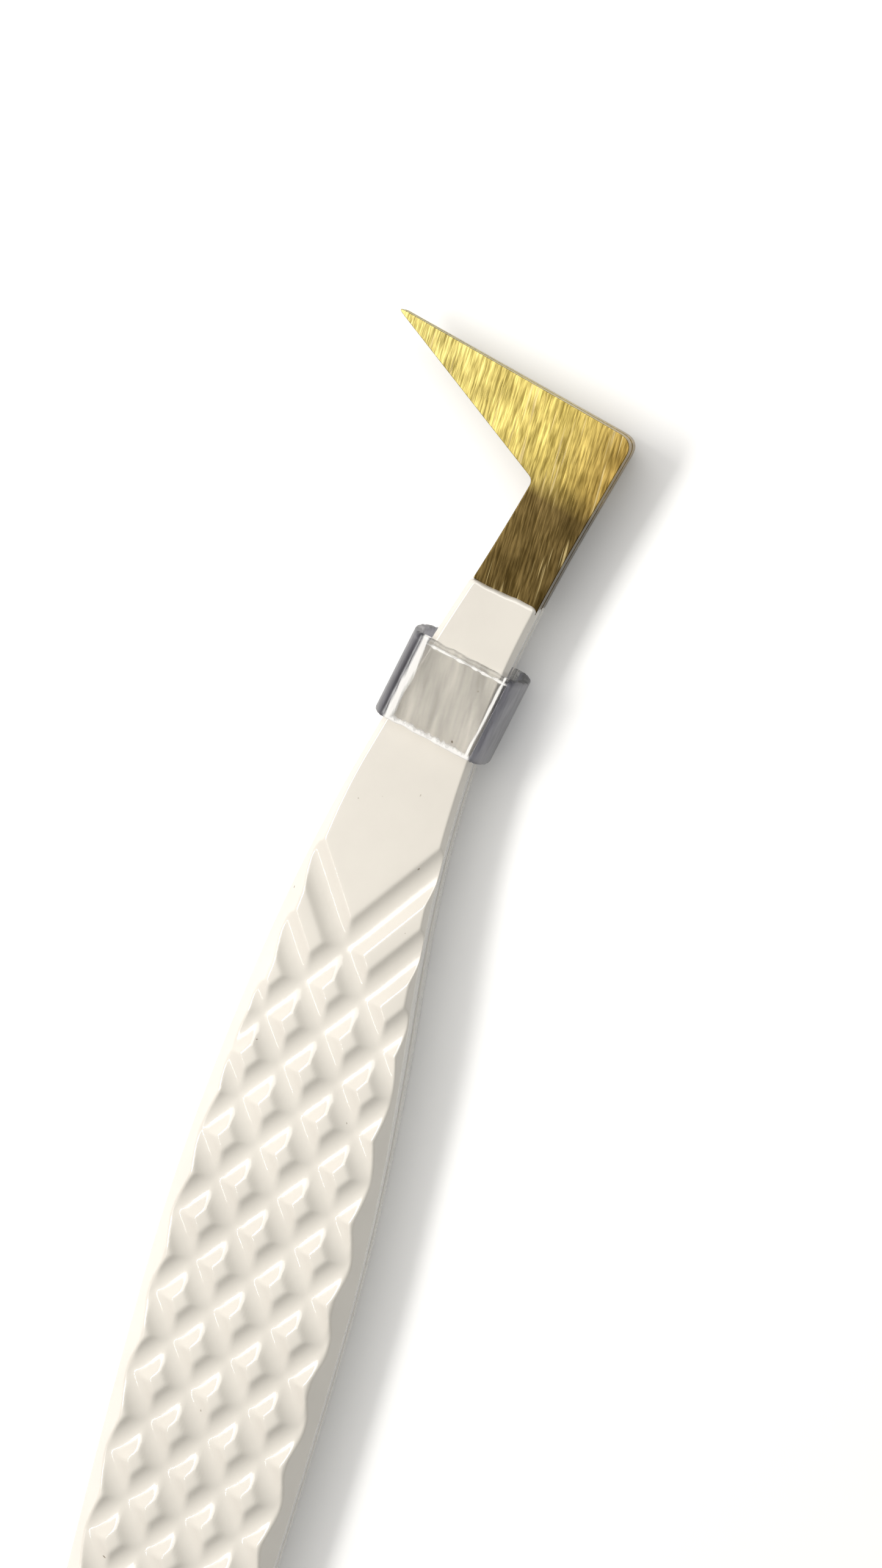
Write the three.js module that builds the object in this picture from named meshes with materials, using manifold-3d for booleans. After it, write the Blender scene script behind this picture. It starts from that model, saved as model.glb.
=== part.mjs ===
// Eyelash-extension tweezers with an L-shaped boot tip, closed by a clear keeper sleeve.
// Millimetres. The tweezers lie on the outer face of the rear arm: +X runs from the butt to
// the boot, +Y is the way the toe points, and +Z runs from the rear arm to the front arm.
import * as THREE from 'three';
import { mergeVertices } from 'three/addons/utils/BufferGeometryUtils.js';
import Module from 'manifold-3d';

const wasm = await Module();
wasm.setup();

// ---- Centreline of the arms, seen from above: a straight handle, a long bend, the boot ----
// A station is a distance along this line from the butt.
const straightLength = 78.5;
const bendRadius = 93;
const bendLength = 23.4;
const bendStation = straightLength;

// ---- Outline of an enamelled arm: half widths, and where they are reached ----
const buttHalfWidth = 3.4;
const buttCornerRadius = 1.8;
const gripHalfWidth = 5.85;
const gripStation = bendStation - 18.4;
const neckHalfWidth = 1.95;
const neckStation = bendStation + 29.2;
const enamelEnd = bendStation + 24.4;

// ---- Thickness of an enamelled arm, from its inner face to its outer face ----
const gripThickness = 2.5;
const neckThickness = 1.6;
const thinningStart = bendStation - 6.5;
const thinningEnd = bendStation + 19.5;

// ---- Bevel along both outer edges of an enamelled arm ----
const gripBevelWidth = 1.0;
const gripBevelHeight = 1.3;
const neckBevelWidth = 0.3;
const neckBevelHeight = 0.4;
const bevelChangeStart = bendStation - 12.5;
const bevelChangeEnd = bendStation + 4.5;

// ---- Diamond relief ----
const grooveAngle = 34.7;
const groovePitch = 4.83;
const grooveDepth = 0.42;
const grooveHalfWidth = 0.85;
const firstCrossing = bendStation + 2.9;
const plainButtLength = 20;

// ---- Clearances ----
const armGap = 0.3;
const fitGap = 0.15;

// ---- Steel blade: the boot, and the tang inside the enamel ----
const paintThickness = 0.1;
const heelStation = bendStation + 34.6;
const toeReach = 14.9;
const footTurn = 91.2;
const toeAngle = 21.8;
const toeTipRadius = 0.15;
const heelRadius = 0.9;
const crookRadius = 0.5;
const toeThickness = 0.5;
const bladeThickness = neckThickness - 2 * paintThickness;
const enamelWall = 0.3;
const enamelSideWall = 0.55;
const tangThickness = neckThickness - 2 * (enamelWall + fitGap);
const tangButtEnd = 2.5;

// ---- Spacer welded between the two tangs at the butt ----
const spacerLength = 6.5;
const spacerInset = 0.8;
const spacerHalfWidth = buttHalfWidth - enamelSideWall - fitGap - spacerInset;
const spacerCornerRadius = 0.6;

// ---- Keeper sleeve ----
const sleeveStation = bendStation + 17.8;
const sleeveLength = 5;
const sleeveWall = 0.45;
const sleeveSideClearance = 0.25;
const sleeveTopClearance = 0.3;
const sleeveSplit = 0.2;

// Heights above the plane between the two arms.
const innerFace = armGap / 2;
const tangBottom = innerFace + enamelWall + fitGap;
const tangTop = tangBottom + tangThickness;
const radians = THREE.MathUtils.degToRad;

// Half-cosine change from one value to another between two stations.
function ease(s, start, end, before, after) {
  const u = THREE.MathUtils.clamp((s - start) / (end - start), 0, 1);
  return before + (after - before) * (1 - Math.cos(Math.PI * u)) / 2;
}

// Point of the arm at a station, a distance to the left of the centreline.
function beside(s, offset) {
  const turn = -heading(s);
  const beyond = Math.max(0, s - bendStation - bendLength);
  const x = Math.min(s, bendStation) + bendRadius * Math.sin(turn) + beyond * Math.cos(turn);
  const y = bendRadius * (Math.cos(turn) - 1) - beyond * Math.sin(turn);
  return new THREE.Vector2(x + Math.sin(turn) * offset, y + Math.cos(turn) * offset);
}

function heading(s) {
  return -THREE.MathUtils.clamp(s - bendStation, 0, bendLength) / bendRadius;
}

function halfWidth(s) {
  if (s > gripStation) return ease(s, gripStation, neckStation, gripHalfWidth, neckHalfWidth);
  const swell = Math.sin((Math.PI / 2) * (s / gripStation));
  const width = buttHalfWidth + (gripHalfWidth - buttHalfWidth) * swell;
  const inCorner = Math.max(0, buttCornerRadius - s);
  return width - buttCornerRadius + Math.sqrt(buttCornerRadius ** 2 - inCorner ** 2);
}

function thickness(s) {
  return ease(s, thinningStart, thinningEnd, gripThickness, neckThickness);
}

function bevelWidth(s) {
  return ease(s, bevelChangeStart, bevelChangeEnd, gripBevelWidth, neckBevelWidth);
}

function bevelHeight(s) {
  return ease(s, bevelChangeStart, bevelChangeEnd, gripBevelHeight, neckBevelHeight);
}

// Evenly spaced stations from one value to another, both included.
function stations(from, to, count) {
  return Array.from({ length: count + 1 }, (_, i) => from + ((to - from) * i) / count);
}

// ---- Solids ----

function toManifold(geometry) {
  const bare = geometry.clone();
  bare.deleteAttribute('normal');
  bare.deleteAttribute('uv');
  const merged = mergeVertices(bare, 1e-5);
  const vertProperties = new Float32Array(merged.attributes.position.array);
  const triVerts = new Uint32Array(merged.index.array);
  return new wasm.Manifold(new wasm.Mesh({ numProp: 3, vertProperties, triVerts }));
}

function toGeometry(solid) {
  const mesh = solid.getMesh();
  const geometry = new THREE.BufferGeometry();
  geometry.setAttribute('position', new THREE.BufferAttribute(mesh.vertProperties, 3));
  geometry.setIndex(new THREE.BufferAttribute(mesh.triVerts, 1));
  geometry.computeVertexNormals();
  return geometry;
}

// Closed solid through rings of points that all have the same number of corners.
function loft(rings) {
  const corners = rings[0].length;
  const index = [];
  for (let r = 0; r < rings.length - 1; r += 1) {
    for (let c = 0; c < corners; c += 1) {
      const a = r * corners + c;
      const b = r * corners + ((c + 1) % corners);
      index.push(a, b, a + corners, b, b + corners, a + corners);
    }
  }
  const last = (rings.length - 1) * corners;
  for (let c = 1; c < corners - 1; c += 1) {
    index.push(0, c + 1, c);
    index.push(last, last + c, last + c + 1);
  }
  const geometry = new THREE.BufferGeometry().setFromPoints(rings.flat());
  geometry.setIndex(index);
  return geometry;
}

function plate(outline, bottom, top) {
  const geometry = new THREE.ExtrudeGeometry(outline, {
    depth: top - bottom,
    bevelEnabled: false,
    curveSegments: 8,
  });
  return geometry.translate(0, 0, bottom);
}

// The rear arm is the front arm mirrored in the plane between them.
function mirrored(geometry) {
  const copy = toGeometry(toManifold(geometry));
  copy.scale(1, 1, -1);
  const index = copy.index.array;
  for (let i = 0; i < index.length; i += 3) {
    [index[i], index[i + 1]] = [index[i + 1], index[i]];
  }
  copy.computeVertexNormals();
  return copy;
}

// ---- Enamel ----

function enamelRing(s) {
  const w = halfWidth(s);
  const t = thickness(s);
  const section = [
    [-w, 0],
    [w, 0],
    [w, t - bevelHeight(s)],
    [w - bevelWidth(s), t],
    [bevelWidth(s) - w, t],
    [-w, t - bevelHeight(s)],
  ];
  return section.map(([offset, height]) => {
    const point = beside(s, offset);
    return new THREE.Vector3(point.x, point.y, innerFace + height);
  });
}

// One V-groove across the grip: a triangular bar that stands clear above the face it cuts.
function groove(crossing, side) {
  const reach = (gripHalfWidth * 1.4) / Math.sin(radians(grooveAngle));
  const slope = grooveHalfWidth / grooveDepth;
  const clear = grooveDepth * 2;
  const bottom = innerFace + thickness(crossing) - grooveDepth;
  const vee = new THREE.Shape([
    new THREE.Vector2(0, 0),
    new THREE.Vector2(clear * slope, clear),
    new THREE.Vector2(-clear * slope, clear),
  ]);
  const bar = new THREE.ExtrudeGeometry(vee, { depth: 2 * reach, bevelEnabled: false });
  bar.translate(0, 0, -reach);
  bar.rotateX(Math.PI / 2);
  bar.rotateZ(Math.PI / 2 + side * radians(grooveAngle));
  return bar.translate(crossing, 0, bottom);
}

function tangOutline(margin, buttEnd, frontEnd) {
  const along = stations(buttEnd, frontEnd, 24);
  const edge = (s) => halfWidth(s) - enamelSideWall - fitGap + margin;
  const right = along.map((s) => beside(s, -edge(s)));
  const left = along.map((s) => beside(s, edge(s))).reverse();
  return new THREE.Shape([...right, ...left]);
}

function spacerOutline(margin) {
  const rear = tangButtEnd - margin;
  const front = tangButtEnd + spacerLength + margin;
  const side = spacerHalfWidth + margin;
  const r = spacerCornerRadius;
  const outline = new THREE.Shape();
  outline.absarc(front - r, side - r, r, 0, Math.PI / 2);
  outline.absarc(rear + r, side - r, r, Math.PI / 2, Math.PI);
  outline.absarc(rear + r, r - side, r, Math.PI, 1.5 * Math.PI);
  outline.absarc(front - r, r - side, r, 1.5 * Math.PI, 2 * Math.PI);
  return outline;
}

function makeEnamel() {
  const body = loft([
    ...stations(0, buttCornerRadius, 6),
    ...stations(buttCornerRadius, enamelEnd, 48).slice(1),
  ].map(enamelRing));
  const overrun = 1;
  const cavity = plate(
    tangOutline(fitGap, tangButtEnd - fitGap, enamelEnd + overrun),
    tangBottom - fitGap,
    tangTop + fitGap,
  );
  const pocket = plate(spacerOutline(fitGap), 0, (tangBottom + tangTop) / 2);
  let solid = toManifold(body).subtract(toManifold(cavity)).subtract(toManifold(pocket));
  for (let crossing = firstCrossing; crossing > plainButtLength; crossing -= groovePitch) {
    solid = solid.subtract(toManifold(groove(crossing, 1)));
    solid = solid.subtract(toManifold(groove(crossing, -1)));
  }
  return toGeometry(solid);
}

// ---- Steel blade ----

// Where two lines meet, each given by a point and a direction.
function crossing2d(p, u, q, v) {
  const k = ((q.x - p.x) * v.y - (q.y - p.y) * v.x) / (u.x * v.y - u.y * v.x);
  return new THREE.Vector2(p.x + u.x * k, p.y + u.y * k);
}

function direction(angle) {
  return new THREE.Vector2(Math.cos(angle), Math.sin(angle));
}

// Goes to a corner and round it with a fillet.
function roundCorner(outline, from, corner, to, radius) {
  const back = from.clone().sub(corner).normalize();
  const on = to.clone().sub(corner).normalize();
  const half = Math.acos(THREE.MathUtils.clamp(back.dot(on), -1, 1)) / 2;
  const setback = radius / Math.tan(half);
  const start = corner.clone().addScaledVector(back, setback);
  const end = corner.clone().addScaledVector(on, setback);
  outline.lineTo(start.x, start.y);
  outline.quadraticCurveTo(corner.x, corner.y, end.x, end.y);
}

const bladeStart = enamelEnd + fitGap;
const neckHeading = heading(heelStation);
const soleHeading = neckHeading + radians(footTurn);
const heel = beside(heelStation, paintThickness - neckHalfWidth);
const toe = heel.clone().addScaledVector(direction(soleHeading), toeReach);

function bladeOutline() {
  const edge = (s) => halfWidth(s) - paintThickness;
  const along = stations(bladeStart, heelStation - 3 * neckHalfWidth, 5);
  const right = along.map((s) => beside(s, -edge(s)));
  const left = along.map((s) => beside(s, edge(s))).reverse();
  const instep = direction(soleHeading + Math.PI - radians(toeAngle));
  const crook = crossing2d(left[0], direction(neckHeading), toe, instep);
  const outline = new THREE.Shape();
  outline.moveTo(right[0].x, right[0].y);
  right.slice(1).forEach((p) => outline.lineTo(p.x, p.y));
  roundCorner(outline, right[right.length - 1], heel, toe, heelRadius);
  roundCorner(outline, heel, toe, crook, toeTipRadius);
  roundCorner(outline, toe, crook, left[0], crookRadius);
  left.forEach((p) => outline.lineTo(p.x, p.y));
  return outline;
}

// The boot thins evenly from its heel to its toe.
function thinTowardsToe(geometry) {
  const along = direction(soleHeading);
  const position = geometry.attributes.position;
  for (let i = 0; i < position.count; i += 1) {
    if (position.getZ(i) > innerFace + 1e-6) {
      const reach = (position.getX(i) - heel.x) * along.x + (position.getY(i) - heel.y) * along.y;
      const share = THREE.MathUtils.clamp(reach / toeReach, 0, 1);
      position.setZ(i, innerFace + bladeThickness + (toeThickness - bladeThickness) * share);
    }
  }
  return geometry;
}

function makeBlade() {
  const boot = thinTowardsToe(plate(bladeOutline(), innerFace, innerFace + bladeThickness));
  const rootInBoot = 1;
  const tang = plate(tangOutline(0, tangButtEnd, bladeStart + rootInBoot), tangBottom, tangTop);
  return toGeometry(toManifold(boot).add(toManifold(tang)));
}

// ---- Butt spacer ----

function makeSpacer() {
  const half = tangBottom - fitGap;
  return plate(spacerOutline(0), -half, half);
}

// ---- Keeper sleeve: a flattened tube in two halves, each round one arm ----

function makeKeeper() {
  const thickEnd = sleeveStation - sleeveLength / 2;
  const side = halfWidth(thickEnd) + sleeveSideClearance;
  const top = innerFace + thickness(thickEnd) + sleeveTopClearance;
  const panel = side - bevelWidth(thickEnd);
  const shoulder = top - bevelHeight(thickEnd);
  const split = sleeveSplit / 2;
  const outline = new THREE.Shape();
  outline.moveTo(side + sleeveWall, split);
  outline.lineTo(side + sleeveWall, shoulder);
  outline.quadraticCurveTo(side + sleeveWall, top + sleeveWall, panel, top + sleeveWall);
  outline.lineTo(-panel, top + sleeveWall);
  outline.quadraticCurveTo(-side - sleeveWall, top + sleeveWall, -side - sleeveWall, shoulder);
  outline.lineTo(-side - sleeveWall, split);
  outline.lineTo(-side, split);
  outline.lineTo(-side, shoulder);
  outline.lineTo(-panel, top);
  outline.lineTo(panel, top);
  outline.lineTo(side, shoulder);
  outline.lineTo(side, split);
  const tube = new THREE.ExtrudeGeometry(outline, {
    depth: sleeveLength,
    bevelEnabled: false,
    curveSegments: 6,
  });
  tube.translate(0, 0, -sleeveLength / 2);
  tube.rotateX(Math.PI / 2);
  tube.rotateZ(Math.PI / 2);
  tube.rotateZ(heading(sleeveStation));
  const centre = beside(sleeveStation, 0);
  return tube.translate(centre.x, centre.y, 0);
}

// ---- Assembly ----

const goldSteel = { color: 0xd9b65c, roughness: 0.35, metalness: 1 };
const bareSteel = { color: 0xb9bcc0, roughness: 0.4, metalness: 1 };
const whiteEnamel = { color: 0xece8dc, roughness: 0.18, metalness: 0 };
const clearPlastic = { color: 0xdfe3e6, roughness: 0.12, metalness: 0 };

const tweezers = new THREE.Group();

function addPiece(name, geometry, finish) {
  const piece = new THREE.Mesh(geometry, new THREE.MeshStandardMaterial(finish));
  piece.name = name;
  tweezers.add(piece);
}

const blade = makeBlade();
const enamel = makeEnamel();
const keeper = makeKeeper();

addPiece('rear_blade', mirrored(blade), goldSteel);
addPiece('rear_enamel', mirrored(enamel), whiteEnamel);
addPiece('front_blade', blade, goldSteel);
addPiece('front_enamel', enamel, whiteEnamel);
addPiece('butt_spacer', makeSpacer(), bareSteel);
addPiece('keeper_rear', mirrored(keeper), clearPlastic);
addPiece('keeper_front', keeper, clearPlastic);

// The origin is under the middle of the tweezers, on the surface that they lie on.
const extent = new THREE.Box3().setFromObject(tweezers);
const middle = extent.getCenter(new THREE.Vector3());
tweezers.position.set(-middle.x, -middle.y, -extent.min.z);

export default tweezers;
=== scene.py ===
"""Boot-tip eyelash-extension tweezers in a clear keeper sleeve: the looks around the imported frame."""

import math

import bpy
import numpy as np
from mathutils import Matrix, Vector


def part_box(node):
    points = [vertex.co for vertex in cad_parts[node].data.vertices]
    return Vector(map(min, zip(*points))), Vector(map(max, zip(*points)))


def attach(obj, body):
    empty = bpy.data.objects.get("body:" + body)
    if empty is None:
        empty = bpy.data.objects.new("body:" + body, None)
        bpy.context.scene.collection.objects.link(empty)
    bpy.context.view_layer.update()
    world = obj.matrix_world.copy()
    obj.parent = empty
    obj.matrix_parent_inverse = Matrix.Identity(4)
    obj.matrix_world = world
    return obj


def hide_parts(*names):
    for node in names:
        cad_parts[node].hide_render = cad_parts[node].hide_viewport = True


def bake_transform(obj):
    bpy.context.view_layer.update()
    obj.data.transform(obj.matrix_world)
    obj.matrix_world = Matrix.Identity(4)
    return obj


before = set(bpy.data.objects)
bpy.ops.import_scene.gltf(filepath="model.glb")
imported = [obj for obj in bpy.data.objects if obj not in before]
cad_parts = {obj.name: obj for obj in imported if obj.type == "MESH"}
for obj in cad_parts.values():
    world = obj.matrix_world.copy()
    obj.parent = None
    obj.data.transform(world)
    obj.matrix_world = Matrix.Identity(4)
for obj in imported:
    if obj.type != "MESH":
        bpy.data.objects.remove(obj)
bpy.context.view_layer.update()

MM = 0.001

# ---- Driving dimensions in millimetres, as the frame has them ----
BEND_STATION = 78.5
BEND_RADIUS = 93.0
BEND_LENGTH = 23.4
BUTT_HALF, GRIP_HALF, NECK_HALF = 3.4, 5.85, 1.95
BUTT_CORNER = 1.8
GRIP_STATION = BEND_STATION - 18.4
NECK_STATION = BEND_STATION + 29.2
ENAMEL_END = BEND_STATION + 24.4
GRIP_THICK, NECK_THICK = 2.5, 1.6
THINNING = (BEND_STATION - 6.5, BEND_STATION + 19.5)
BEVEL_CHANGE = (BEND_STATION - 12.5, BEND_STATION + 4.5)
TOE_SIDE_BEVEL_CHANGE = (BEND_STATION + 1.5, BEND_STATION + 13.0)
BEVEL_WIDTH = (1.0, 0.3)
BEVEL_HEIGHT = (1.3, 0.4)
GROOVE_ANGLE = math.radians(34.7)
GROOVE_PITCH = 4.83
GROOVE_DEPTH = 0.42
GROOVE_HALF = 0.95
GROOVE_ROUNDING = 0.07
CROSSING_ROUNDING = 0.04
PAD_CROWN = 0.06
FIRST_CROSSING = BEND_STATION + 2.9
PLAIN_BUTT = 20.0
ARM_GAP = 0.3
INNER = ARM_GAP / 2
PAINT = 0.1
PAINT_LIP = 0.28
PAINT_LINE_BACK = 0.27
WALL_EDGE = 0.12
HEEL_STATION = BEND_STATION + 34.6
TOE_REACH = 14.9
FOOT_TURN = math.radians(91.2)
TOE_ANGLE = math.radians(21.8)
HEEL_RADIUS, CROOK_RADIUS, TOE_RADIUS = 0.9, 0.5, 0.15
BLADE_THICK, TOE_THICK = NECK_THICK - 2 * PAINT, 0.5
BOOT_EDGE_BEVEL = 0.05
SLEEVE_STATION = BEND_STATION + 17.8
SLEEVE_LENGTH = 5.0
SLEEVE_WALL = 0.45
SLEEVE_SIDE_GAP, SLEEVE_TOP_GAP = 0.25, 0.3
SLEEVE_RIM = 0.09
PANEL_OVERHANG, PANEL_CORNER = 0.12, 0.22

# The butt end of the centreline, in the plane between the arms, from the frame itself.
spacer_low, spacer_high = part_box("butt_spacer")
ORIGIN = Vector((
    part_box("front_enamel")[0].x,
    (spacer_low.y + spacer_high.y) / 2,
    (spacer_low.z + spacer_high.z) / 2,
)) / MM


# ---- Shape of the arms ----

def ease(s, span, before, after):
    u = np.clip((s - span[0]) / (span[1] - span[0]), 0, 1)
    return before + (after - before) * (1 - np.cos(np.pi * u)) / 2


def heading(s):
    return -np.clip(s - BEND_STATION, 0, BEND_LENGTH) / BEND_RADIUS


def beside(s, offset):
    """x and y of a point at a station, a distance to the left of the centreline."""
    turn = -heading(s)
    beyond = np.maximum(0, s - BEND_STATION - BEND_LENGTH)
    x = np.minimum(s, BEND_STATION) + BEND_RADIUS * np.sin(turn) + beyond * np.cos(turn)
    y = BEND_RADIUS * (np.cos(turn) - 1) - beyond * np.sin(turn)
    return x + np.sin(turn) * offset, y + np.cos(turn) * offset


def half_width(s):
    swell = np.sin(np.pi / 2 * np.clip(s / GRIP_STATION, 0, 1))
    corner = np.maximum(0, BUTT_CORNER - s)
    rear = BUTT_HALF + (GRIP_HALF - BUTT_HALF) * swell
    rear = rear - BUTT_CORNER + np.sqrt(BUTT_CORNER ** 2 - corner ** 2)
    front = ease(s, (GRIP_STATION, NECK_STATION), GRIP_HALF, NECK_HALF)
    return np.where(s > GRIP_STATION, front, rear)


def soft_positive(t, knee):
    """max(t, 0) with its corner rounded over about the knee."""
    return (t + np.sqrt(t * t + knee * knee)) / 2


def soft_max(a, b, knee):
    return b + soft_positive(a - b, knee)


def groove_drop(x, y):
    """Depth below the face of the two families of rounded grooves, and the crown of the pads."""
    slant = 1 / math.tan(GROOVE_ANGLE)
    count = int((FIRST_CROSSING - PLAIN_BUTT) / GROOVE_PITCH)
    half_pitch = GROOVE_PITCH * math.sin(GROOVE_ANGLE) / 2
    drops = []
    crown = 0
    for side in (-1, 1):
        intercept = x + side * y * slant
        k = np.clip(np.round((FIRST_CROSSING - intercept) / GROOVE_PITCH), 0, count)
        away = np.abs(intercept - (FIRST_CROSSING - k * GROOVE_PITCH)) * math.sin(GROOVE_ANGLE)
        drops.append(soft_positive(GROOVE_DEPTH * (1 - (away / GROOVE_HALF) ** 2.4), GROOVE_ROUNDING))
        crown = crown + PAD_CROWN * np.clip(1 - away / half_pitch, 0, 1) ** 1.5
    return soft_max(drops[0], drops[1], CROSSING_ROUNDING) + crown


def new_mesh(name, verts, faces):
    """An object from points in millimetres measured from the butt, in metres in the row frame."""
    mesh = bpy.data.meshes.new(name)
    placed = (np.asarray(verts, float) + np.array(ORIGIN)) * MM
    mesh.from_pydata([tuple(v) for v in placed], [], faces)
    mesh.validate()
    mesh.update()
    for polygon in mesh.polygons:
        polygon.use_smooth = True
    piece = bpy.data.objects.new(name, mesh)
    bpy.context.scene.collection.objects.link(piece)
    return piece


def band(first, second, corners):
    """Quads between two rings of points, each given by its number."""
    a, b = first * corners, second * corners
    steps = [(c, (c + 1) % corners) for c in range(corners)]
    return [(a + c, a + d, b + d, b + c) for c, d in steps]


def closed_rod_faces(rings, corners):
    """Quads between rings of points, with both ends closed."""
    faces = []
    for r in range(rings - 1):
        faces += band(r, r + 1, corners)
    faces.append(tuple(range(corners - 1, -1, -1)))
    faces.append(tuple(range((rings - 1) * corners, rings * corners)))
    return faces


def two_sided(toe_side, s, pair):
    """A size of the bevel, which changes further forward on the toe's side than on the heel's."""
    return np.where(toe_side, ease(s, TOE_SIDE_BEVEL_CHANGE, *pair), ease(s, BEVEL_CHANGE, *pair))


def side_wall(station, sign, width, top):
    """Points down one side of an arm, from the bevel to the rounded inner edge."""
    levels = np.linspace(1, 0, 5)[1:]
    x, y = beside(station, sign * width)
    column = [(x, y, h) for h in WALL_EDGE + (top - WALL_EDGE) * levels]
    x, y = beside(station, sign * (width - WALL_EDGE))
    return column + [(x, y, 0.0)]


def enamel_points(side):
    """Rings of the enamelled arm; side is 1 for the front arm and -1 for the rear arm."""
    butt = BUTT_CORNER * (1 - np.cos(np.linspace(0, np.pi / 2, 10)))
    plain = np.arange(BUTT_CORNER + 0.3, PLAIN_BUTT - 8, 0.6)
    hidden = np.arange(PLAIN_BUTT - 8, 55, 0.16)
    fine = np.arange(55, ENAMEL_END - 0.3, 0.1)
    lip = ENAMEL_END - PAINT_LIP * np.cos(np.linspace(0, np.pi / 2, 7))
    stations = np.concatenate([butt, plain, hidden, fine, lip])
    across = np.sin(np.linspace(-np.pi / 2, np.pi / 2, 95) * 0.94) / math.sin(np.pi / 2 * 0.94)
    rings = []
    for s in stations:
        w = float(half_width(np.array(s)))
        thick = float(ease(s, THINNING, GRIP_THICK, NECK_THICK))
        if s > ENAMEL_END - PAINT_LIP:
            past = s - ENAMEL_END + PAINT_LIP
            shrink = PAINT_LIP - math.sqrt(max(0.0, PAINT_LIP ** 2 - past ** 2))
            w -= shrink
            thick -= shrink
        u = across * w
        # The paint ends in a slightly uneven line.
        lean = 0.2 * u / w + 0.03 * np.sin(u * 1.9 + 0.6) + 0.015 * np.sin(u * 5.3 + 2.0)
        near_end = np.clip((s - ENAMEL_END + 4) / 4, 0, 1) ** 2
        station = s - near_end * (PAINT_LINE_BACK + lean)
        x, y = beside(station, u)
        toe_side = u > 0
        bevel_w = two_sided(toe_side, s, BEVEL_WIDTH)
        edge = (np.abs(u) - (w - bevel_w)) / bevel_w
        bevel_drop = two_sided(toe_side, s, BEVEL_HEIGHT) * soft_positive(edge, 0.1)
        drop = np.clip(soft_max(bevel_drop, groove_drop(x, y), 0.05) - 0.02, 0, None)
        top = np.stack([x, y, thick - drop], -1)
        toe_wall = side_wall(station[-1], 1, w, top[-1, 2])
        heel_wall = side_wall(station[0], -1, w, top[0, 2])[::-1]
        inner_u = np.linspace(w - 0.5, -(w - 0.5), 9)
        inner_x, inner_y = beside(s - near_end * PAINT_LINE_BACK, inner_u)
        inner = np.stack([inner_x, inner_y, np.zeros(9)], -1)
        ring = np.concatenate([top, toe_wall, inner, heel_wall])
        ring[:, 2] = side * (INNER + ring[:, 2])
        rings.append(ring)
    return rings


def make_enamel(name, side):
    rings = enamel_points(side)
    faces = closed_rod_faces(len(rings), len(rings[0]))
    if side > 0:
        faces = [f[::-1] for f in faces]
    return new_mesh(name, np.concatenate(rings), faces)


# ---- Steel boots ----

def direction(angle):
    return np.array([math.cos(angle), math.sin(angle)])


def curve(start, corner, end, steps):
    """Points of a quadratic curve that leaves start and reaches end towards the corner."""
    return [(1 - t) ** 2 * start + 2 * t * (1 - t) * corner + t * t * end for t in np.linspace(0, 1, steps)]


def fillet(back, corner, on, radius, steps):
    """Points of a corner rounded between the directions to its two neighbours."""
    a = (back - corner) / np.linalg.norm(back - corner)
    b = (on - corner) / np.linalg.norm(on - corner)
    half = math.acos(float(np.clip(a @ b, -1, 1))) / 2
    reach = radius / math.tan(half)
    return curve(corner + a * reach, corner, corner + b * reach, steps)


def boot_corners():
    """The heel, the crook opposite it, and the way the sole runs from the heel to the toe."""
    neck_heading = float(heading(HEEL_STATION))
    sole = neck_heading + FOOT_TURN
    edge = NECK_HALF - PAINT
    heel = np.array(beside(HEEL_STATION, -edge))
    toe = heel + TOE_REACH * direction(sole)
    instep = direction(sole + math.pi - TOE_ANGLE)
    left_line = np.array(beside(HEEL_STATION - 5, edge))
    along_neck = direction(neck_heading)
    matrix = np.array([along_neck, -instep]).T
    crook = left_line + along_neck * np.linalg.solve(matrix, toe - left_line)[0]
    return heel, crook, direction(sole)


def boot_outline():
    """Outline of the boot from the paint line, round the heel, the toe and the crook."""
    root = ENAMEL_END - 0.45
    heel, crook, sole = boot_corners()
    toe = heel + TOE_REACH * sole
    stations = np.linspace(root, HEEL_STATION - 3 * NECK_HALF, 12)
    sides = half_width(stations) - PAINT
    right = [np.array(beside(s, -w)) for s, w in zip(stations, sides)]
    left = [np.array(beside(s, w)) for s, w in zip(stations, sides)][::-1]
    points = right
    points += fillet(right[-1], heel, toe, HEEL_RADIUS, 9)
    points += fillet(heel, toe, crook, TOE_RADIUS, 7)
    points += fillet(toe, crook, left[0], CROOK_RADIUS, 8)
    points += left
    return np.array(points)


def make_boot(name, side):
    points = boot_outline()
    heel, _, sole = boot_corners()
    count = len(points)
    share = (points - heel) @ sole / TOE_REACH
    thick = BLADE_THICK + (TOE_THICK - BLADE_THICK) * share
    verts = np.zeros((2 * count, 3))
    verts[:count, :2] = verts[count:, :2] = points
    verts[:count, 2] = side * (INNER + 0.015)
    verts[count:, 2] = side * (INNER + thick)
    faces = [tuple(range(count - 1, -1, -1)), tuple(range(count, 2 * count))]
    for i in range(count):
        j = (i + 1) % count
        faces.append((i, j, count + j, count + i))
    if side < 0:
        faces = [f[::-1] for f in faces]
    boot = new_mesh(name, verts, faces)
    bevel = boot.modifiers.new("edge", "BEVEL")
    bevel.width = BOOT_EDGE_BEVEL * MM
    bevel.segments = 3
    bevel.limit_method = "ANGLE"
    bevel.angle_limit = math.radians(50)
    bevel.harden_normals = True
    return boot


# ---- Keeper sleeve ----

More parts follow.
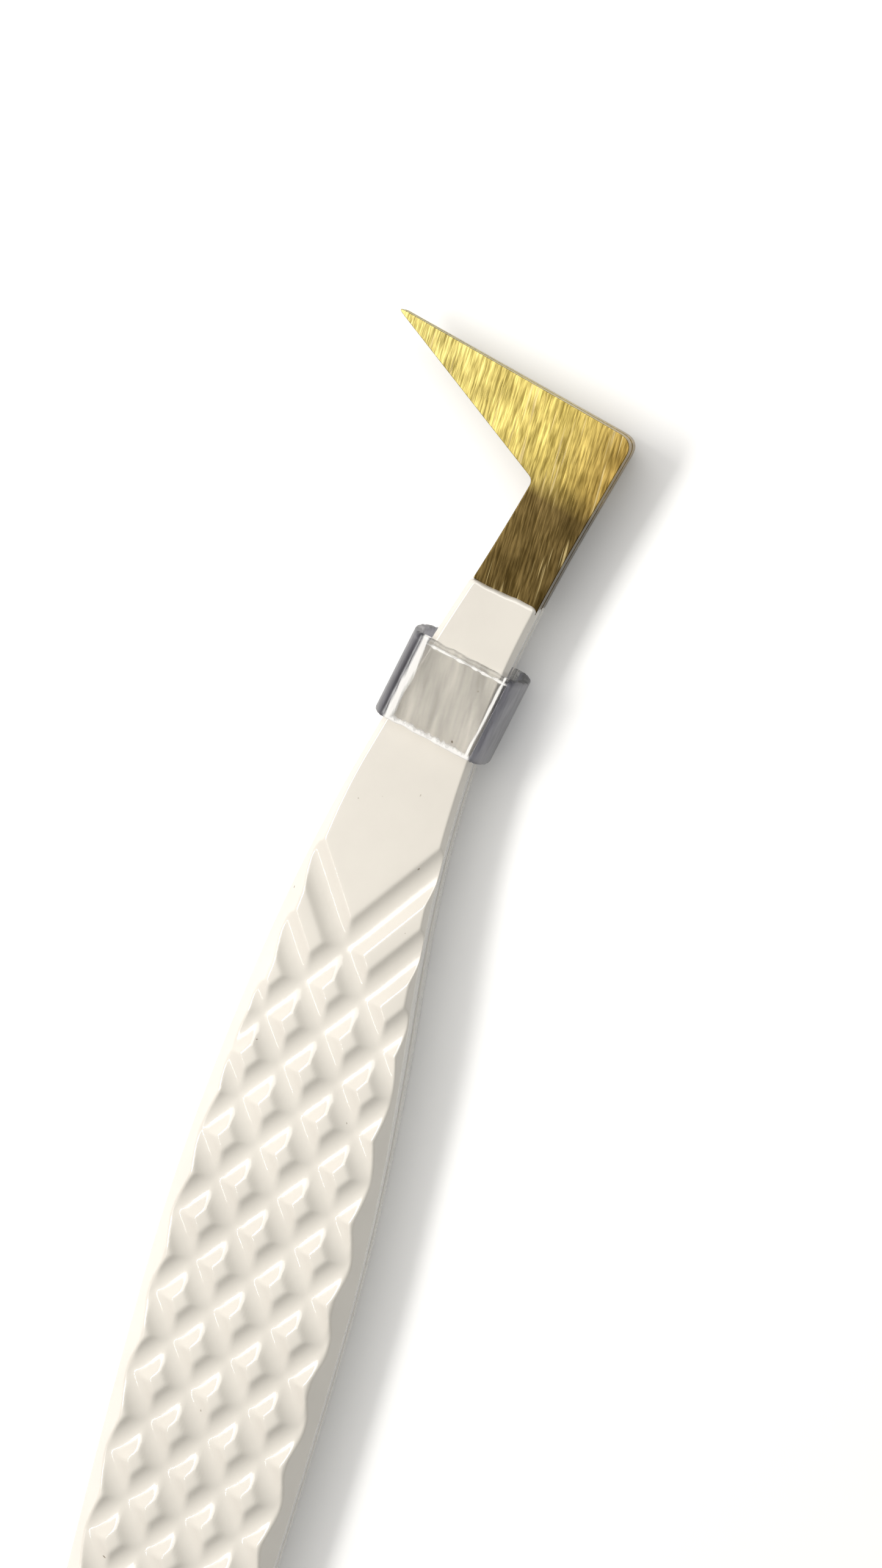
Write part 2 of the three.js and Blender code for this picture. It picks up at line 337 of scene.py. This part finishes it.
def sleeve_profile():
    """Quarter of the outer section of the flattened tube, from the middle of its front panel."""
    thick_end = SLEEVE_STATION - SLEEVE_LENGTH / 2
    side = float(half_width(np.array(thick_end))) + SLEEVE_SIDE_GAP + SLEEVE_WALL
    thick = float(ease(thick_end, THINNING, GRIP_THICK, NECK_THICK))
    top = INNER + thick + SLEEVE_TOP_GAP + SLEEVE_WALL
    bevel_w = float(ease(thick_end, BEVEL_CHANGE, *BEVEL_WIDTH))
    panel = side - SLEEVE_WALL - bevel_w + PANEL_OVERHANG
    flat = [np.array([x, top]) for x in np.linspace(0, panel - PANEL_CORNER, 14)]
    corner = np.array([panel, top])
    shoulder = curve(corner, np.array([side, top * 0.72]), np.array([side, 0.0]), 26)
    fold = curve(flat[-1], corner, shoulder[3], 8)
    return np.array(flat[:-1] + fold[:-1] + shoulder[3:])


def closed_section():
    quarter = sleeve_profile()
    lower = quarter[::-1][1:] * np.array([1, -1])
    right = np.concatenate([quarter, lower])
    left = right[::-1][1:-1] * np.array([-1, 1])
    return np.concatenate([right, left])


def inward(section, distance):
    before = np.roll(section, 1, axis=0)
    after = np.roll(section, -1, axis=0)
    tangent = after - before
    normal = np.stack([tangent[:, 1], -tangent[:, 0]], -1)
    normal /= np.linalg.norm(normal, axis=1)[:, None]
    return section + normal * distance


def make_sleeve(name):
    outer = closed_section()
    corners = len(outer)
    angle = float(heading(np.array(SLEEVE_STATION)))
    forward, left = direction(angle), direction(angle + math.pi / 2)
    cx, cy = beside(SLEEVE_STATION, 0.0)
    half = SLEEVE_LENGTH / 2
    rim = SLEEVE_RIM
    path = [(-half, SLEEVE_WALL - rim), (-half, rim), (-half + rim * 0.3, rim * 0.3), (-half + rim, 0)]
    path += [(t, 0) for t in np.linspace(-half + 0.3, half - 0.3, 17)]
    path += [(half - rim, 0), (half - rim * 0.3, rim * 0.3), (half, rim), (half, SLEEVE_WALL - rim)]
    path += [(half - rim, SLEEVE_WALL)]
    path += [(t, SLEEVE_WALL) for t in np.linspace(half - 0.3, -half + 0.3, 17)]
    path += [(-half + rim, SLEEVE_WALL)]
    # Both cut ends are slightly uneven.
    phase = np.linspace(0, 2 * np.pi, corners, endpoint=False)
    wave = 0.03 * np.sin(9 * phase + 1) + 0.025 * np.sin(17 * phase + 2.4) + 0.015 * np.sin(31 * phase)
    verts = []
    for t, depth in path:
        section = inward(outer, depth) if depth else outer
        shift = -np.abs(wave) * np.sign(t) * np.clip((abs(t) - half + 0.5) / 0.5, 0, 1)
        run = t + shift
        x = cx + forward[0] * run - left[0] * section[:, 0]
        y = cy + forward[1] * run - left[1] * section[:, 0]
        verts.append(np.stack([x, y, section[:, 1]], -1))
    faces = []
    for r in range(len(path)):
        faces += band(r, (r + 1) % len(path), corners)
    return new_mesh(name, np.concatenate(verts), faces)


# ---- Materials ----

def new_material(name):
    material = bpy.data.materials.new(name)
    material.use_nodes = True
    nodes, links = material.node_tree.nodes, material.node_tree.links
    shader = nodes["Principled BSDF"]
    place = nodes.new("ShaderNodeTexCoord")
    return material, nodes, links, shader, place


def noise(nodes, links, place, scale, detail=3.0, stretch=(1, 1, 1), turn=0.0):
    mapping = nodes.new("ShaderNodeMapping")
    mapping.inputs["Scale"].default_value = stretch
    mapping.inputs["Rotation"].default_value = (0, 0, turn)
    links.new(place.outputs["Object"], mapping.inputs["Vector"])
    texture = nodes.new("ShaderNodeTexNoise")
    texture.inputs["Scale"].default_value = scale
    texture.inputs["Detail"].default_value = detail
    links.new(mapping.outputs["Vector"], texture.inputs["Vector"])
    return texture.outputs["Fac"]


def ramp(nodes, links, value, stops):
    node = nodes.new("ShaderNodeValToRGB")
    node.color_ramp.elements[0].position = stops[0][0]
    node.color_ramp.elements[0].color = (*stops[0][1], 1)
    node.color_ramp.elements[1].position = stops[-1][0]
    node.color_ramp.elements[1].color = (*stops[-1][1], 1)
    for position, colour in stops[1:-1]:
        node.color_ramp.elements.new(position).color = (*colour, 1)
    links.new(value, node.inputs["Fac"])
    return node.outputs["Color"]


def spread(nodes, links, value, low, high, out_low, out_high):
    node = nodes.new("ShaderNodeMapRange")
    node.inputs["From Min"].default_value = low
    node.inputs["From Max"].default_value = high
    node.inputs["To Min"].default_value = out_low
    node.inputs["To Max"].default_value = out_high
    links.new(value, node.inputs["Value"])
    return node.outputs["Result"]


def mix(nodes, links, factor, a, b, mode="MIX"):
    node = nodes.new("ShaderNodeMix")
    node.data_type = "RGBA"
    node.blend_type = mode
    for socket, value in ((node.inputs[0], factor), (node.inputs[6], a), (node.inputs[7], b)):
        if isinstance(value, bpy.types.NodeSocket):
            links.new(value, socket)
        elif isinstance(value, tuple):
            socket.default_value = (*value, 1)
        else:
            socket.default_value = value
    return node.outputs[2]


def calculate(nodes, links, operation, a, b=None):
    node = nodes.new("ShaderNodeMath")
    node.operation = operation
    for socket, value in zip(node.inputs, (a, b)):
        if isinstance(value, bpy.types.NodeSocket):
            links.new(value, socket)
        elif value is not None:
            socket.default_value = value
    return node.outputs["Value"]


def absolute(nodes, links, a):
    return calculate(nodes, links, "ABSOLUTE", a)


def add(nodes, links, a, b):
    return calculate(nodes, links, "ADD", a, b)


def largest(nodes, links, a, b):
    return calculate(nodes, links, "MAXIMUM", a, b)


def bump(nodes, links, height, strength, distance, normal=None):
    node = nodes.new("ShaderNodeBump")
    node.inputs["Strength"].default_value = strength
    node.inputs["Distance"].default_value = distance
    links.new(height, node.inputs["Height"])
    if normal:
        links.new(normal, node.inputs["Normal"])
    return node.outputs["Normal"]


def enamel_material():
    material, nodes, links, shader, place = new_material("white_enamel")
    cloud = noise(nodes, links, place, 160, 4)
    tone = ramp(nodes, links, cloud, [(0.3, (0.70, 0.665, 0.605)), (0.7, (0.76, 0.725, 0.66))])
    specks = noise(nodes, links, place, 1900, 1)
    spots = ramp(nodes, links, specks, [(0.80, (0, 0, 0)), (0.83, (1, 1, 1))])
    colour = mix(nodes, links, spots, tone, (0.25, 0.20, 0.15))
    links.new(colour, shader.inputs["Base Color"])
    peel = noise(nodes, links, place, 900, 2)
    grain = noise(nodes, links, place, 5200, 2)
    first = bump(nodes, links, peel, 0.05, 0.0002)
    links.new(bump(nodes, links, grain, 0.03, 0.00005, first), shader.inputs["Normal"])
    rough = spread(nodes, links, grain, 0.35, 0.7, 0.16, 0.26)
    links.new(rough, shader.inputs["Roughness"])
    shader.inputs["Coat Weight"].default_value = 0.8
    shader.inputs["Coat Roughness"].default_value = 0.04
    shader.inputs["IOR"].default_value = 1.5
    return material


def along(nodes, links, place, start, way):
    """Millimetres from a point, measured along a direction in the plane of the arms."""
    shift = nodes.new("ShaderNodeVectorMath")
    shift.operation = "SUBTRACT"
    shift.inputs[1].default_value = (np.array([*start, 0]) + np.array(ORIGIN)) * MM
    links.new(place.outputs["Object"], shift.inputs[0])
    dot = nodes.new("ShaderNodeVectorMath")
    dot.operation = "DOT_PRODUCT"
    dot.inputs[1].default_value = (way[0] / MM, way[1] / MM, 0)
    links.new(shift.outputs["Vector"], dot.inputs[0])
    return dot.outputs["Value"]


def gold_material():
    """Brushed along the handle, with painted reflection in its colour: bright on the foot, dark bronze on
    the neck.
    """
    material, nodes, links, shader, place = new_material("gold_coating")
    heel, crook, sole = boot_corners()
    neck_way = direction(float(heading(np.array(HEEL_STATION))))
    streak = noise(nodes, links, place, 1, 2, stretch=(800, 8000, 8000))
    blotch = noise(nodes, links, place, 700, 3)
    scratch = noise(nodes, links, place, 1, 1, stretch=(260, 5200, 5200))
    # Painted reflection: the foot's colour is darker at the heel and brighter towards the toe.
    toe_share = spread(nodes, links, along(nodes, links, place, heel, sole), 0, TOE_REACH * 0.8, 0, 1)
    painted_foot_reflection = ramp(nodes, links, toe_share, [
        (0.0, (0.275, 0.18, 0.043)), (0.35, (0.44, 0.345, 0.092)), (1.0, (0.37, 0.31, 0.10)),
    ])
    # Painted dark reflection: the neck past the crook is given a dark bronze colour.
    painted_neck_shade = spread(nodes, links, along(nodes, links, place, crook, neck_way), -0.7, 0.9, 1, 0)
    tone = mix(nodes, links, painted_neck_shade, painted_foot_reflection, (0.10, 0.067, 0.021))
    fine = ramp(nodes, links, streak, [(0.34, (0.58, 0.56, 0.50)), (0.66, (1.42, 1.45, 1.62))])
    cloud = ramp(nodes, links, blotch, [(0.35, (0.90, 0.89, 0.86)), (0.65, (1.08, 1.09, 1.13))])
    tone = mix(nodes, links, 1.0, mix(nodes, links, 1.0, tone, fine, "MULTIPLY"), cloud, "MULTIPLY")
    marks = ramp(nodes, links, scratch, [(0.63, (0, 0, 0)), (0.72, (0.6, 0.6, 0.6))])
    links.new(mix(nodes, links, marks, tone, (0.55, 0.44, 0.21)), shader.inputs["Base Color"])
    shader.inputs["Metallic"].default_value = 1.0
    links.new(spread(nodes, links, blotch, 0.3, 0.7, 0.27, 0.35), shader.inputs["Roughness"])
    links.new(bump(nodes, links, streak, 0.3, 0.00002), shader.inputs["Normal"])
    return material


def plastic_material():
    """Clear vinyl: its side walls painted darker as painted shade, with painted highlights at its cut ends
    and along the creases.
    """
    material, nodes, links, shader, place = new_material("clear_plastic")
    angle = float(heading(np.array(SLEEVE_STATION)))
    centre = [float(v) for v in beside(SLEEVE_STATION, 0.0)]
    crease = abs(float(sleeve_profile()[12][0]))
    reach = along(nodes, links, place, centre, direction(angle))
    across = along(nodes, links, place, centre, direction(angle + math.pi / 2))
    aside = absolute(nodes, links, across)
    ribs = noise(nodes, links, place, 1, 3, stretch=(160, 2600, 2600), turn=-angle)
    smear = noise(nodes, links, place, 1, 4, stretch=(240, 1700, 1700), turn=-angle)
    panel = ramp(nodes, links, smear, [(0.36, (0.56, 0.56, 0.545)), (0.62, (0.84, 0.835, 0.815))])
    # Painted shade: the side walls are coloured darker than the panel, and darker still on the toe's side;
    # the ribs in them are the vinyl's own striations.
    painted_dark_wall = ramp(nodes, links, ribs, [(0.35, (0.30, 0.30, 0.335)), (0.65, (0.56, 0.56, 0.60))])
    toe_wall = spread(nodes, links, across, 0, 0.5, 0, 1)
    painted_dark_wall = mix(nodes, links, toe_wall, painted_dark_wall, (0.6, 0.6, 0.62), "MULTIPLY")
    in_wall = spread(nodes, links, aside, crease + 0.10, crease + 0.28, 0, 1)
    tone = mix(nodes, links, in_wall, panel, painted_dark_wall)
    uneven = spread(nodes, links, ribs, 0.3, 0.7, -0.05, 0.05)
    highlight_wobble = spread(nodes, links, ribs, 0.3, 0.7, -0.12, 0.12)
    # Painted highlights at the cut ends: a broad ragged rim at the end towards the grip, and a thin line
    # just inside the end towards the boot.
    grip_end = add(nodes, links, reach, SLEEVE_LENGTH / 2)
    grip_end_highlight = spread(nodes, links, add(nodes, links, grip_end, highlight_wobble), 0.16, 0.34, 0.85, 0)
    boot_line = absolute(nodes, links, add(nodes, links, reach, 0.38 - SLEEVE_LENGTH / 2))
    boot_end_highlight = spread(nodes, links, add(nodes, links, boot_line, uneven), 0.02, 0.08, 0.8, 0)
    # Painted highlights along the creases: broad and bright on the toe's side, a thin line on the heel's
    # side.
    toe_crease = absolute(nodes, links, add(nodes, links, across, -crease))
    heel_crease = absolute(nodes, links, add(nodes, links, across, crease))
    toe_crease_highlight = spread(nodes, links, add(nodes, links, toe_crease, highlight_wobble), 0.10, 0.26, 0.85, 0)
    heel_crease_highlight = spread(nodes, links, add(nodes, links, heel_crease, uneven), 0.03, 0.09, 0.8, 0)
    on_panel = spread(nodes, links, in_wall, 0, 1, 1, 0.15)
    end = calculate(nodes, links, "MULTIPLY", largest(nodes, links, grip_end_highlight, boot_end_highlight), on_panel)
    # The painted highlights are mixed in as a near-white colour, and the vinyl is opaque where they lie.
    white = largest(nodes, links, end, largest(nodes, links, toe_crease_highlight, heel_crease_highlight))
    links.new(mix(nodes, links, white, tone, (0.93, 0.92, 0.90)), shader.inputs["Base Color"])
    links.new(spread(nodes, links, white, 0, 1, 1, 0), shader.inputs["Transmission Weight"])
    links.new(spread(nodes, links, in_wall, 0, 1, 0.06, 0.30), shader.inputs["Roughness"])
    shader.inputs["IOR"].default_value = 1.5
    links.new(bump(nodes, links, ribs, 0.3, 0.00008), shader.inputs["Normal"])
    absorb = nodes.new("ShaderNodeVolumeAbsorption")
    absorb.inputs["Color"].default_value = (0.50, 0.50, 0.56, 1)
    absorb.inputs["Density"].default_value = 500
    links.new(absorb.outputs["Volume"], nodes["Material Output"].inputs["Volume"])
    # Lamps light the arms through the clear wall.
    path = nodes.new("ShaderNodeLightPath")
    open_way = nodes.new("ShaderNodeBsdfTransparent")
    open_way.inputs["Color"].default_value = (0.84, 0.84, 0.83, 1)
    either = nodes.new("ShaderNodeMixShader")
    links.new(path.outputs["Is Shadow Ray"], either.inputs[0])
    links.new(shader.outputs["BSDF"], either.inputs[1])
    links.new(open_way.outputs["BSDF"], either.inputs[2])
    links.new(either.outputs["Shader"], nodes["Material Output"].inputs["Surface"])
    return material


def steel_material():
    material, nodes, links, shader, place = new_material("bare_steel")
    grain = noise(nodes, links, place, 1, 3, stretch=(300, 4000, 4000))
    tone = ramp(nodes, links, grain, [(0.3, (0.50, 0.51, 0.52)), (0.7, (0.66, 0.67, 0.68))])
    links.new(tone, shader.inputs["Base Color"])
    shader.inputs["Metallic"].default_value = 1.0
    links.new(spread(nodes, links, grain, 0.3, 0.7, 0.28, 0.42), shader.inputs["Roughness"])
    return material


def floor_material():
    material, nodes, links, shader, place = new_material("studio_floor")
    tone = ramp(nodes, links, noise(nodes, links, place, 3, 2), [(0.3, (0.85,) * 3), (0.7, (0.86,) * 3)])
    links.new(tone, shader.inputs["Base Color"])
    shader.inputs["Roughness"].default_value = 0.9
    shader.inputs["Specular IOR Level"].default_value = 0.1
    # A sheet lit faintly from behind keeps the shadows pale.
    shader.inputs["Emission Color"].default_value = (1.0, 1.0, 0.99, 1)
    shader.inputs["Emission Strength"].default_value = 0.14
    return material


def finish(piece, material):
    piece.data.materials.clear()
    piece.data.materials.append(material)
    return piece


# ---- The tweezers ----

white, gold, clear, steel = enamel_material(), gold_material(), plastic_material(), steel_material()

for side, arm in ((1, "front"), (-1, "rear")):
    coat = finish(make_enamel(f"{arm}_enamel_coat", side), white)
    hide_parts(f"{arm}_enamel")
    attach(coat, f"{arm}_arm")
    boot = finish(make_boot(f"{arm}_boot", side), gold)
    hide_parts(f"{arm}_blade")
    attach(boot, f"{arm}_arm")

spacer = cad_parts["butt_spacer"]
spacer.data.materials.clear()
spacer.data.materials.append(steel)

sleeve = finish(make_sleeve("keeper_sleeve"), clear)
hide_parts("keeper_front", "keeper_rear")
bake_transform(sleeve)


# ---- Studio ----

def make_floor():
    size = 3.0
    mesh = bpy.data.meshes.new("floor")
    corners = [(-size, -size, 0), (size, -size, 0), (size, size, 0), (-size, size, 0)]
    mesh.from_pydata(corners, [], [(0, 1, 2, 3)])
    floor = bpy.data.objects.new("floor", mesh)
    bpy.context.scene.collection.objects.link(floor)
    mesh.materials.append(floor_material())


def aim(thing, at):
    thing.rotation_euler = (Vector(at) - thing.location).to_track_quat("-Z", "Y").to_euler()


def softbox(name, place, at, size, watts, tint):
    light = bpy.data.lights.new(name, "AREA")
    light.shape = "RECTANGLE"
    light.size, light.size_y = size
    light.energy = watts
    light.color = tint
    lamp = bpy.data.objects.new(name, light)
    bpy.context.scene.collection.objects.link(lamp)
    lamp.location = place
    aim(lamp, at)
    return lamp


def make_camera():
    """Nearly square on to the front arm, a little from the toe end and from the heel's side."""
    distance, tip_tilt, side_tilt, roll = 186.0, math.radians(9.0), math.radians(7.1), math.radians(16.0)
    pixels_per_mm, frame_height, sensor = 30.12, 2569, 36.0
    target = (Vector((91.27, -2.41, 0)) + ORIGIN) * MM
    away = Vector((
        math.sin(tip_tilt) * math.cos(side_tilt),
        -math.sin(side_tilt),
        math.cos(tip_tilt) * math.cos(side_tilt),
    ))
    data = bpy.data.cameras.new("camera")
    data.sensor_fit = "VERTICAL"
    data.sensor_height = sensor
    data.lens = pixels_per_mm * distance / frame_height * sensor
    data.clip_start = 0.005
    camera = bpy.data.objects.new("camera", data)
    bpy.context.scene.collection.objects.link(camera)
    camera.location = target + away * distance * MM
    right = Vector((1, 0, 0)).cross(away).normalized()
    up = away.cross(right)
    turned_right = math.cos(roll) * right + math.sin(roll) * up
    turned_up = -math.sin(roll) * right + math.cos(roll) * up
    camera.rotation_euler = Matrix((turned_right, turned_up, away)).transposed().to_euler()
    bpy.context.scene.camera = camera


def make_world():
    """A pale room, warmer on the toe's side and dimmer on the heel's side."""
    world = bpy.data.worlds.new("studio")
    bpy.context.scene.world = world
    world.use_nodes = True
    nodes, links = world.node_tree.nodes, world.node_tree.links
    place = nodes.new("ShaderNodeTexCoord")
    dot = nodes.new("ShaderNodeVectorMath")
    dot.operation = "DOT_PRODUCT"
    dot.inputs[1].default_value = (-0.3, 0.95, 0)
    links.new(place.outputs["Generated"], dot.inputs[0])
    tint = ramp(nodes, links, spread(nodes, links, dot.outputs["Value"], -1, 1, 0, 1), [
        (0.0, (0.075, 0.083, 0.08)), (0.45, (0.24, 0.245, 0.24)), (1.0, (0.52, 0.47, 0.44)),
    ])
    links.new(tint, nodes["Background"].inputs["Color"])


make_floor()
make_camera()
make_world()
grip_centre = (Vector((72, 0, 0)) + ORIGIN) * MM
LAMP_DISTANCE = 0.26
window_way = Vector((0.12, 0.55, 0.83))
window_place = grip_centre + window_way * LAMP_DISTANCE
softbox("window_softbox", window_place, grip_centre, (0.12, 0.05), 0.38, (1, 0.99, 0.96))
rim_way = Vector((-0.26, 0.56, 0.79))
rim_place = grip_centre + rim_way * LAMP_DISTANCE
softbox("rim_softbox", rim_place, grip_centre, (0.15, 0.006), 0.045, (1, 0.99, 0.96))
toe_side_place = grip_centre + Vector((0.28, 0.10, 0.46))
softbox("toe_side_softbox", toe_side_place, grip_centre, (0.50, 0.42), 1.75, (1, 0.98, 0.95))
scene = bpy.context.scene
scene.view_settings.view_transform = "Standard"
